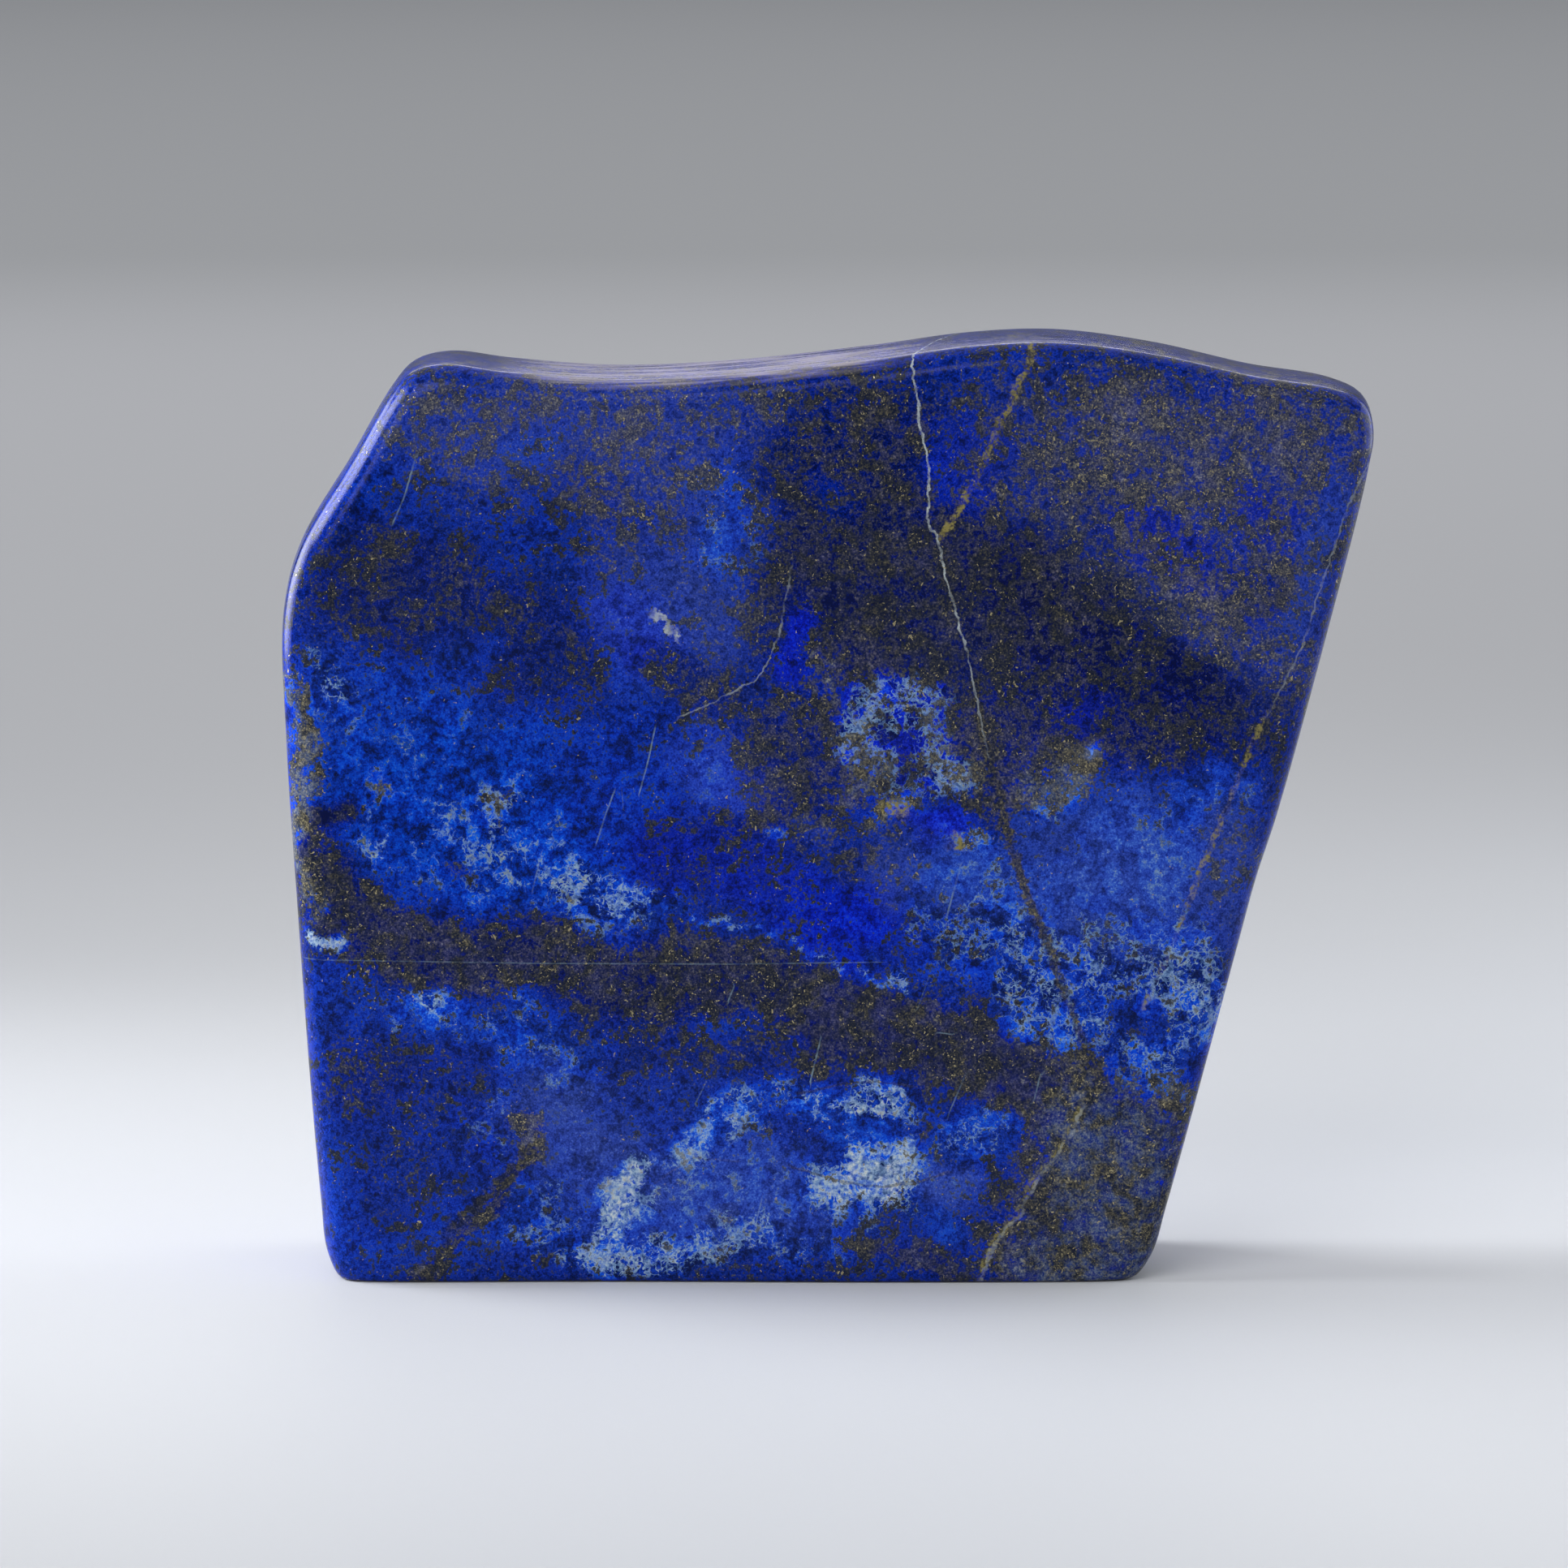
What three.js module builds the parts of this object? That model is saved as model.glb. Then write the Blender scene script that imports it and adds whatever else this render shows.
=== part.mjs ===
// A free-form slab of polished lapis lazuli: one piece of stone, sawn flat underneath so that
// it stands by itself, with two broad polished faces, a worked rim and rounded edges.
// Millimetres, +Z up. The front face looks along -Y. The origin is the middle of the base.

import * as THREE from "three";
import { mergeVertices } from "three/addons/utils/BufferGeometryUtils.js";

// Driving dimensions
const width = 112; // left shoulder to top right corner
const height = 97.1; // base to the crest of the top
const thicknessAtBase = 27.4;
const thicknessAtTop = 25.6;

// The outline seen from the front, clockwise from the left end of the base.
// x and z are shares of the width and the height, and edge is the radius in millimetres
// to which the arris between the faces and the rim is rounded there.
const outline = [
  { x: -0.425, z: -0.0095, edge: 2.2 }, // base, left end
  { x: -0.452, z: -0.001, edge: 2.6 },
  { x: -0.4662, z: 0.029, edge: 3.2 },
  { x: -0.472, z: 0.085, edge: 3.3 },
  { x: -0.4818, z: 0.22, edge: 3.2 },
  { x: -0.492, z: 0.4, edge: 3.2 },
  { x: -0.501, z: 0.57, edge: 3.3 },
  { x: -0.503, z: 0.71, edge: 3.4 }, // left shoulder
  { x: -0.4875, z: 0.78, edge: 3.3 },
  { x: -0.44, z: 0.872, edge: 3.2 },
  { x: -0.402, z: 0.946, edge: 3.1 },
  { x: -0.385, z: 0.9675, edge: 3.0 }, // top left corner
  { x: -0.357, z: 0.976, edge: 2.9 },
  { x: -0.3, z: 0.9685, edge: 2.8 },
  { x: -0.2, z: 0.9605, edge: 2.7 }, // saddle
  { x: -0.09, z: 0.9655, edge: 2.7 },
  { x: 0.04, z: 0.9815, edge: 2.8 },
  { x: 0.13, z: 0.9955, edge: 2.8 },
  { x: 0.21, z: 0.999, edge: 2.8 }, // crest
  { x: 0.3, z: 0.986, edge: 2.8 },
  { x: 0.39, z: 0.963, edge: 2.9 },
  { x: 0.466, z: 0.9485, edge: 3.1 },
  { x: 0.4905, z: 0.934, edge: 3.4 }, // top right corner
  { x: 0.4985, z: 0.905, edge: 3.5 },
  { x: 0.4935, z: 0.863, edge: 3.5 },
  { x: 0.459, z: 0.7, edge: 3.4 },
  { x: 0.412, z: 0.5, edge: 3.3 },
  { x: 0.3925, z: 0.43, edge: 3.2 },
  { x: 0.3765, z: 0.36, edge: 3.2 },
  { x: 0.3515, z: 0.25, edge: 3.1 },
  { x: 0.312, z: 0.08, edge: 3.0 },
  { x: 0.298, z: 0.026, edge: 2.8 },
  { x: 0.281, z: 0.001, edge: 2.5 },
  { x: 0.248, z: -0.0095, edge: 2.2 }, // base, right end
  { x: 0.09, z: -0.0105, edge: 2.1 },
  { x: -0.25, z: -0.0105, edge: 2.1 },
];

// How the two faces and the rim between them are worked
const faceCentre = new THREE.Vector2(-0.006 * width, 0.5 * height);
const crown = 0.8; // how far the middle of each face stands proud of its edge
const rimBulge = 0.5; // how far the rim stands out between its two arrises
const backTaper = 0.012; // share by which the outline is narrower at the back
const leastObliquity = 0.6; // keeps the inset of a rounded edge in bounds at the corners
const baseEasing = 0.35; // height over which the sawn base meets the sides

// Shallow waves that hand polishing leaves in the faces: height, length and direction
const waves = [
  { rise: 0.16, along: 47, angle: 0.6, phase: 0.4 },
  { rise: 0.1, along: 31, angle: 2.2, phase: 1.9 },
];

// Mesh steps: round the outline, and from the middle of the front face over the rim to the back
const aroundSteps = 120;
const faceSteps = 7;
const edgeSteps = 5;
const rimSteps = 6;
const acrossSteps = 2 * faceSteps + 2 * edgeSteps + rimSteps;

const outlineCurve = new THREE.CatmullRomCurve3(
  outline.map((p) => new THREE.Vector3(p.x * width, p.edge, p.z * height)),
  true,
  "centripetal",
);
outlineCurve.arcLengthDivisions = 2000;

// One place on the outline: the arm from the face's centre to it, its edge radius,
// and the cosine of the angle between that arm and the outline's outward normal.
function outlineAt(around) {
  const point = outlineCurve.getPointAt(around);
  const tangent = outlineCurve.getTangentAt(around);
  const arm = new THREE.Vector2(point.x, point.z).sub(faceCentre);
  const length = arm.length();
  const normal = new THREE.Vector2(-tangent.z, tangent.x).normalize();
  const obliquity = Math.max(leastObliquity, normal.dot(arm) / length);
  return { arm: arm.divideScalar(length), length, edge: point.y, obliquity };
}

// Half the slab's thickness at a place on one of its faces. Side is -1 in front and 1 behind.
function faceDepth(x, z, side) {
  const across = (x - faceCentre.x) / (0.5 * width);
  const up = (z - faceCentre.y) / (0.5 * height);
  const half = THREE.MathUtils.lerp(thicknessAtBase, thicknessAtTop, z / height) / 2;
  return waves.reduce((depth, wave) => {
    const distance = x * Math.cos(wave.angle) + side * z * Math.sin(wave.angle);
    return depth + wave.rise * Math.sin((2 * Math.PI * distance) / wave.along + wave.phase);
  }, half - crown * 0.5 * (across * across + up * up));
}

// The cut through the slab along one arm, from the middle of a face (step 0) to the middle of
// the rim. Reach is the distance out along the arm, and held the reach at which the face's depth
// is read. The rounded edge takes drop off that depth, and the rim keeps a share of what is left.
function sectionAt(step, place) {
  const inset = place.edge / place.obliquity;
  const arris = place.length - inset;
  if (step <= faceSteps) {
    const reach = (step / faceSteps) * arris;
    return { reach, held: reach, drop: 0, share: 1 };
  }
  if (step <= faceSteps + edgeSteps) {
    const turn = ((step - faceSteps) / edgeSteps) * (Math.PI / 2);
    const reach = arris + inset * Math.sin(turn);
    return { reach, held: arris, drop: place.edge * (1 - Math.cos(turn)), share: 1 };
  }
  const share = 1 - (step - faceSteps - edgeSteps) / (rimSteps / 2);
  const reach = place.length + rimBulge * (1 - share * share);
  return { reach, held: arris, drop: place.edge, share };
}

// The saw cut: 0 below the base plane, unchanged above it, and rounded where the two meet
function sawnHeight(z) {
  if (z <= -baseEasing) return 0;
  if (z >= baseEasing) return z;
  return (z + baseEasing) ** 2 / (4 * baseEasing);
}

// The stone's surface, as a function of the way round the outline and the way across it
function surfacePoint(around, across) {
  const place = outlineAt(around);
  const steps = across * acrossSteps;
  const side = steps > acrossSteps / 2 ? 1 : -1;
  const { reach, held, drop, share } = sectionAt(side > 0 ? acrossSteps - steps : steps, place);
  const x = faceCentre.x + place.arm.x * reach;
  const z = faceCentre.y + place.arm.y * reach;
  const full = faceDepth(
    faceCentre.x + place.arm.x * held,
    faceCentre.y + place.arm.y * held,
    side,
  );
  const y = side * share * (full - drop);
  const narrowing = 1 - backTaper * (0.5 + y / thicknessAtBase);
  return new THREE.Vector3(x * narrowing, y, sawnHeight(z));
}

// A sphere's grid of vertices, with each vertex moved to its place on the stone
function stoneGeometry() {
  const geometry = new THREE.SphereGeometry(1, aroundSteps, acrossSteps);
  const grid = geometry.getAttribute("uv");
  const position = geometry.getAttribute("position");
  for (let i = 0; i < position.count; i += 1) {
    const across = 1 - grid.getY(i);
    const isPole = across < 1e-6 || across > 1 - 1e-6;
    const point = surfacePoint(isPole ? 0 : (1 - grid.getX(i)) % 1, across);
    position.setXYZ(i, point.x, point.y, point.z);
  }
  geometry.deleteAttribute("normal");
  geometry.deleteAttribute("uv");
  const closed = mergeVertices(geometry, 1e-4);
  closed.computeBoundingBox();
  const middle = closed.boundingBox.getCenter(new THREE.Vector3());
  closed.translate(-middle.x, -middle.y, 0);
  closed.computeVertexNormals();
  return closed;
}

const polishedLapis = new THREE.MeshStandardMaterial({
  color: 0x1b2f86,
  roughness: 0.22,
  metalness: 0,
});

const slab = new THREE.Mesh(stoneGeometry(), polishedLapis);
slab.name = "lapis_slab";

const specimen = new THREE.Group();
specimen.add(slab);

export default specimen;
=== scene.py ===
import math
import bpy
import numpy as np
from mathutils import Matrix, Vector


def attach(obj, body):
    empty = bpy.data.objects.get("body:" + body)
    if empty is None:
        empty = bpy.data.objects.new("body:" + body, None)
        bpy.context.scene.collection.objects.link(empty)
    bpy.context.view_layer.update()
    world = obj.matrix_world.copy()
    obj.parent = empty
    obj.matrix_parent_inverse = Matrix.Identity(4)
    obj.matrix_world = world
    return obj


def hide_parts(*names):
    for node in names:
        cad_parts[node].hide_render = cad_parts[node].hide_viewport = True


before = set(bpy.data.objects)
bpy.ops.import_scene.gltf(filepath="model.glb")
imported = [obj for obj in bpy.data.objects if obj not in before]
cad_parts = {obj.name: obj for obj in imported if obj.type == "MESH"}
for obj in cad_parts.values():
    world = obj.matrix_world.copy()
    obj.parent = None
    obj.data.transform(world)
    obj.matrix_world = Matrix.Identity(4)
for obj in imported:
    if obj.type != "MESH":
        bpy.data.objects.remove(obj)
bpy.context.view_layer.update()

mm = 0.001

# Lapis lazuli slab: a free-form piece of polished stone, standing on its sawn base.
# The surface is one numpy grid, the markings are soft zones and vein lines kept as
# attributes on it, and the material breaks them up with noise on Object coordinates.

camera = {
    "target": (-4.417, 0.0, 50.237),
    "distance": 900.0,
    "elevation": 7.0,
    "lens": 198.36,
    "sensor": 36.0,
    "clip": (0.01, 50.0),  # in metres
}

view = math.radians(camera["elevation"])
aim = Vector(camera["target"]) * mm
back = Vector((0.0, -math.cos(view), math.sin(view)))
camData = bpy.data.cameras.new("photoCamera")
camData.lens = camera["lens"]
camData.sensor_width = camera["sensor"]
camData.clip_start, camData.clip_end = camera["clip"]
camObject = bpy.data.objects.new("photoCamera", camData)
camObject.location = aim + back * camera["distance"] * mm
camObject.rotation_euler = (math.pi / 2 - view, 0.0, 0.0)
bpy.context.scene.collection.objects.link(camObject)
bpy.context.scene.camera = camObject
bpy.context.scene.view_settings.view_transform = "Standard"
bpy.context.scene.view_settings.look = "None"

studio = {
    "floorSize": 12.0,
    "floorColour": (0.5, 0.51, 0.53),
    "floorRoughness": 0.6,
    "floorGap": 0.0001,  # left under the base, so that it and the floor don't share a plane
    "worldColour": (0.5, 0.52, 0.56),
    "worldStrength": 0.3,
    # name: place, point it looks at, size, watts, colour, and the beam's spread in degrees
    "lights": {
        "key": ((-1.375, -2.5, 1.8), (0, 0, 0.05), (2.3, 2.0), 76.0, (1.0, 0.99, 0.97), 180),
        "fill": ((1.8, -1.8, 0.65), (0, 0, 0.05), (1.2, 1.2), 15.0, (0.96, 0.98, 1.0), 180),
        "frontStrip": ((0.0, -1.3, 0.95), (0, 0, 0.09), (1.8, 0.07), 2.2, (0.96, 0.98, 1.0), 180),
        "left": ((-0.3, 0.1, 0.12), (-0.05, 0, 0.065), (0.26, 0.18), 0.36, (0.94, 0.96, 1.0), 60),
        "leftHigh": ((-0.6, 0.0, 0.37), (-0.05, 0, 0.08), (0.34, 0.13), 0.46, (0.95, 0.97, 1.0), 60),
        "right": ((0.34, 0.14, 0.15), (0, 0, 0.06), (0.36, 0.28), 0.9, (0.9, 0.94, 1.0), 180),
        "topBack": ((-0.1, 1.5, 0.64), (0, 0, 0.09), (1.0, 0.16), 1.7, (0.97, 0.94, 1.0), 180),
        "ceiling": ((0.0, 2.8, 2.6), (0, 2.8, 0), (5.0, 5.0), 56.0, (1.0, 1.0, 1.0), 180),
    },
}


def addLight(name, place, target, size, watts, colour, spread):
    data = bpy.data.lights.new(name, "AREA")
    data.shape = "RECTANGLE"
    data.size, data.size_y = size
    data.energy = watts
    data.color = colour
    data.spread = math.radians(spread)
    lamp = bpy.data.objects.new(name, data)
    lamp.location = place
    lamp.visible_camera = False
    lamp.rotation_euler = (Vector(target) - Vector(place)).to_track_quat("-Z", "Y").to_euler()
    bpy.context.scene.collection.objects.link(lamp)


for name, settings in studio["lights"].items():
    addLight(name, *settings)

world = bpy.data.worlds.new("studioWorld")
world.use_nodes = True
sky = world.node_tree.nodes["Background"]
sky.inputs["Color"].default_value = (*studio["worldColour"], 1.0)
sky.inputs["Strength"].default_value = studio["worldStrength"]
bpy.context.scene.world = world

floorHalf = studio["floorSize"] / 2
floorMesh = bpy.data.meshes.new("floor")
corners = [(x * floorHalf, y * floorHalf, 0) for x, y in ((-1, -1), (1, -1), (1, 1), (-1, 1))]
floorMesh.from_pydata(corners, [], [(0, 1, 2, 3)])
floorPaint = bpy.data.materials.new("floorPaint")
floorPaint.use_nodes = True
floorShader = floorPaint.node_tree.nodes["Principled BSDF"]
floorShader.inputs["Base Color"].default_value = (*studio["floorColour"], 1.0)
floorShader.inputs["Roughness"].default_value = studio["floorRoughness"]
floorMesh.materials.append(floorPaint)
floor = bpy.data.objects.new("floor", floorMesh)
floor.location.z = -studio["floorGap"]
bpy.context.scene.collection.objects.link(floor)
print("stage: camera, light and floor are set")


slab = {
    "width": 112.0,
    "height": 97.1,
    "thicknessAtBase": 27.4,
    "thicknessAtTop": 25.6,
    "crown": 0.8,           # how far the middle of each face stands proud of its corners
    "rimBulge": 0.5,        # how far the rim stands out between its two arrises
    "backTaper": 0.012,     # share by which the slab is narrower at the back
    "poleShift": -0.006,    # of the middle of the grid, as a share of the width
    "leastObliquity": 0.6,  # least cosine between an arm of the grid and the outline's normal
    "baseEasing": 0.35,     # height over which the sawn base meets the sides
    # the outline, clockwise from the left end of the base: x and z as shares of the
    # width and height, and the radius of the rounded edge in millimetres
    "outline": [
        (-0.425, -0.0095, 2.2), (-0.452, -0.001, 2.6), (-0.4662, 0.029, 3.2), (-0.472, 0.085, 3.3),
        (-0.4818, 0.22, 3.2), (-0.492, 0.4, 3.2), (-0.501, 0.57, 3.3), (-0.503, 0.71, 3.4),
        (-0.4875, 0.78, 3.3), (-0.44, 0.872, 3.2), (-0.402, 0.946, 3.1), (-0.385, 0.9675, 3.0),
        (-0.357, 0.976, 2.9), (-0.3, 0.9685, 2.8), (-0.2, 0.9605, 2.7), (-0.09, 0.9655, 2.7),
        (0.04, 0.9815, 2.8), (0.13, 0.9955, 2.8), (0.21, 0.999, 2.8), (0.3, 0.986, 2.8),
        (0.39, 0.963, 2.9), (0.466, 0.9485, 3.1), (0.4905, 0.934, 3.4), (0.4985, 0.905, 3.5),
        (0.4935, 0.863, 3.5), (0.459, 0.7, 3.4), (0.412, 0.5, 3.3), (0.3925, 0.43, 3.2),
        (0.3765, 0.36, 3.2), (0.3515, 0.25, 3.1), (0.312, 0.08, 3.0), (0.298, 0.026, 2.8),
        (0.281, 0.001, 2.5), (0.248, -0.0095, 2.2), (0.09, -0.0105, 2.1), (-0.25, -0.0105, 2.1),
    ],
    # shallow waves that polishing leaves: rise, length, direction, phase
    "waves": [(0.16, 47.0, 0.6, 0.4), (0.1, 31.0, 2.2, 1.9)],
    # grid steps on each span of the curve, round the outline, over a face, round an edge, over
    # the rim
    "span": 120,
    "around": 560,
    "face": 62,
    "edge": 10,
    "rim": 20,
}


def closedCurve(points, steps):
    # A closed smooth curve through the points. On each span a cubic runs from b to c, and its
    # end slopes are worked out from the neighbours a and d too, at knots spaced by the square
    # root of the chord. Returns points at equal lengths along the curve.
    a, b, c, d = (np.roll(points, shift, axis=0) for shift in (1, 0, -1, -2))
    knot = lambda p, q: np.sum((q - p) ** 2, axis=1, keepdims=True) ** 0.25
    ab, bc, cd = knot(a, b), knot(b, c), knot(c, d)
    slopeB = ((b - a) / ab - (c - a) / (ab + bc) + (c - b) / bc) * bc
    slopeC = ((c - b) / bc - (d - b) / (bc + cd) + (d - c) / cd) * bc
    t = np.linspace(0.0, 1.0, slab["span"], endpoint=False)[None, :, None]
    b, c, slopeB, slopeC = (v[:, None, :] for v in (b, c, slopeB, slopeC))
    square, cube = 3 * (c - b) - 2 * slopeB - slopeC, 2 * (b - c) + slopeB + slopeC
    curve = (b + slopeB * t + square * t**2 + cube * t**3).reshape(-1, 3)
    closed = np.vstack([curve, curve[:1]])
    lengths = np.concatenate([[0.0], np.cumsum(np.linalg.norm(np.diff(closed, axis=0), axis=1))])
    wanted = np.arange(steps) / steps * lengths[-1]
    return np.stack([np.interp(wanted, lengths, closed[:, k]) for k in range(3)], axis=1)


def faceDepth(x, z, side):
    # Half the thickness at (x, z): a straight taper from base to top, less a paraboloid crown
    # measured from the middle of the face, plus a sine for each polishing wave.
    across = x / (0.5 * slab["width"])
    up = (z - 0.5 * slab["height"]) / (0.5 * slab["height"])
    taper = slab["thicknessAtTop"] - slab["thicknessAtBase"]
    depth = 0.5 * (slab["thicknessAtBase"] + taper * z / slab["height"])
    depth = depth - 0.5 * slab["crown"] * (across**2 + up**2)
    for rise, length, angle, phase in slab["waves"]:
        run = x * math.cos(angle) + side * z * math.sin(angle)
        depth = depth + rise * np.sin(2 * np.pi * run / length + phase)
    return depth


def sawnHeight(z):
    # 0 below the base plane, z above it, and a parabola (z + e)^2 / 4e where the two meet.
    e = slab["baseEasing"]
    return np.where(z <= -e, 0.0, np.where(z >= e, z, (z + e) ** 2 / (4 * e)))


def slabPoints():
    # For each place round the outline: an arm from the middle of the face to it. Along the arm
    # go the face, then a quarter circle of the edge radius, then half the bulged rim, first on
    # the front and then, in reverse, on the back. Rows run from pole to pole.
    scaled = np.array([(x * slab["width"], r, z * slab["height"]) for x, z, r in slab["outline"]])
    rim = closedCurve(scaled, slab["around"])
    centre = np.array([slab["poleShift"] * slab["width"], 0.5 * slab["height"]])
    arm = rim[:, [0, 2]] - centre
    length = np.linalg.norm(arm, axis=1)
    arm = arm / length[:, None]
    tangent = np.roll(rim, -1, axis=0) - np.roll(rim, 1, axis=0)
    normal = np.stack([-tangent[:, 2], tangent[:, 0]], axis=1)
    normal = normal / np.linalg.norm(normal, axis=1, keepdims=True)
    obliquity = np.maximum(slab["leastObliquity"], np.sum(arm * normal, axis=1))
    radius = rim[:, 1]
    inset = radius / obliquity
    arris = length - inset

    faceShare = np.linspace(0, 1, slab["face"] + 1)[1:, None]
    turn = np.linspace(0, np.pi / 2, slab["edge"] + 1)[1:, None]
    left = 1 - np.linspace(0, 1, slab["rim"] // 2 + 1)[1:, None]
    ones = np.ones_like(length)[None, :]
    reach = np.vstack([faceShare * arris, arris + inset * np.sin(turn),
                       length + slab["rimBulge"] * (1 - left**2)])
    held = np.vstack([faceShare * arris, arris * np.ones_like(turn), arris * np.ones_like(left)])
    drop = np.vstack([0 * faceShare * ones, radius * (1 - np.cos(turn)), radius * np.ones_like(left)])
    share = np.vstack([ones * np.ones_like(faceShare), ones * np.ones_like(turn), ones * left])

    def half(side):
        x = centre[0] + arm[:, 0] * reach
        z = centre[1] + arm[:, 1] * reach
        full = faceDepth(centre[0] + arm[:, 0] * held, centre[1] + arm[:, 1] * held, side)
        y = side * share * (full - drop)
        return np.stack([x, y, z], axis=2)

    front = half(-1.0)
    rear = half(1.0)[:-1][::-1]
    pole = lambda side: np.array([[centre[0], side * faceDepth(centre[0], centre[1], side), centre[1]]])
    grid = np.vstack([front, rear]).reshape(-1, 3)
    points = np.vstack([pole(-1.0), grid, pole(1.0)])
    points[:, 0] *= 1 - slab["backTaper"] * (0.5 + points[:, 1] / slab["thicknessAtBase"])
    points[:, 2] = sawnHeight(points[:, 2])
    points[:, :2] -= 0.5 * (points[:, :2].max(axis=0) + points[:, :2].min(axis=0))
    return points, front.shape[0] + rear.shape[0]


def slabFaces(rows, around):
    # Quads between neighbouring rows, and a fan of triangles at each pole.
    step = np.arange(around)
    ahead = (step + 1) % around
    row = np.arange(rows - 1)[:, None] * around + 1
    quads = np.stack([row + step, row + around + step, row + around + ahead, row + ahead], axis=2)
    quads = quads.reshape(-1, 4)
    last = 1 + (rows - 1) * around
    tip = last + around
    frontFan = np.stack([np.zeros_like(step), 1 + step, 1 + ahead], axis=1)
    backFan = np.stack([last + step, np.full_like(step, tip), last + ahead], axis=1)
    return quads, frontFan, backFan


def softStep(low, high, value):
    # 0 up to low, 1 from high on, and t squared times 3 less 2t between, t being the share.
    t = np.clip((value - low) / (high - low), 0.0, 1.0)
    return t * t * (3 - 2 * t)


def rimFields(points, rows):
    # Where a place lies on the rim. across: length along the profile from the front arris.
    # turned: 0 on the faces, rising to 1 over the rounded edge. loopA, loopB: the length round
    # the outline wrapped on a circle of the same girth, so a pattern along it closes up.
    grid = points[1:-1].reshape(rows, slab["around"], 3)
    steps = np.linalg.norm(np.diff(grid, axis=0), axis=2)
    across = np.vstack([np.zeros(slab["around"]), np.cumsum(steps, axis=0)])
    across = across - across[slab["face"] - 1]
    row = np.arange(rows)
    inner = np.minimum(row, rows - 1 - row)
    turned = softStep(slab["face"] - 1, slab["face"] + 0.7 * slab["edge"], inner)[:, None]
    middle = grid[rows // 2]
    lengths = np.cumsum(np.linalg.norm(np.roll(middle, -1, axis=0) - middle, axis=1))
    angle = 2 * np.pi * lengths / lengths[-1]
    ones = np.ones((rows, 1))
    layers = {"across": across, "turned": turned * np.ones_like(across),
              "loopA": ones * lengths[-1] / (2 * np.pi) * np.cos(angle),
              "loopB": ones * lengths[-1] / (2 * np.pi) * np.sin(angle)}
    return {name: np.concatenate([[0.0], layer.ravel(), [0.0]]) for name, layer in layers.items()}


points, rows = slabPoints()
quads, frontFan, backFan = slabFaces(rows, slab["around"])
mesh = bpy.data.meshes.new("lapisSlab")
mesh.from_pydata((points * mm).tolist(), [], quads.tolist() + frontFan.tolist() + backFan.tolist())
mesh.polygons.foreach_set("use_smooth", np.ones(len(mesh.polygons), dtype=bool))
mesh.update()
stone = bpy.data.objects.new("lapisSlab", mesh)
bpy.context.scene.collection.objects.link(stone)
print("stage: slab surface,", len(points), "points,", 2 * len(quads) + 2 * slab["around"], "triangles")


# Each zone is a soft ellipse or a soft band, in mm on the face. It paints the levels it names
# over what lies under it:
#   dark     cover of olive-grey matrix speckle
#   tone     how light the blue is
#   haze  painted sheen: a violet wash in the colour, standing for soft reflected light
#   royal    how far the blue turns from cobalt to royal blue
#   calcite  cover of pale calcite lace
#   gold     how many pyrite flecks
ground = {"dark": 0.38, "tone": 0.34, "haze": 0.1, "royal": 0.0, "calcite": 0.0, "gold": 0.15}


def spot(x, z, width, height, turn=0, **levels):
    # A soft ellipse about (x, z), with its half axes and how far it is turned, in degrees.
    return {"at": (x, z), "size": (width, height), "turn": turn, **levels}


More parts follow.
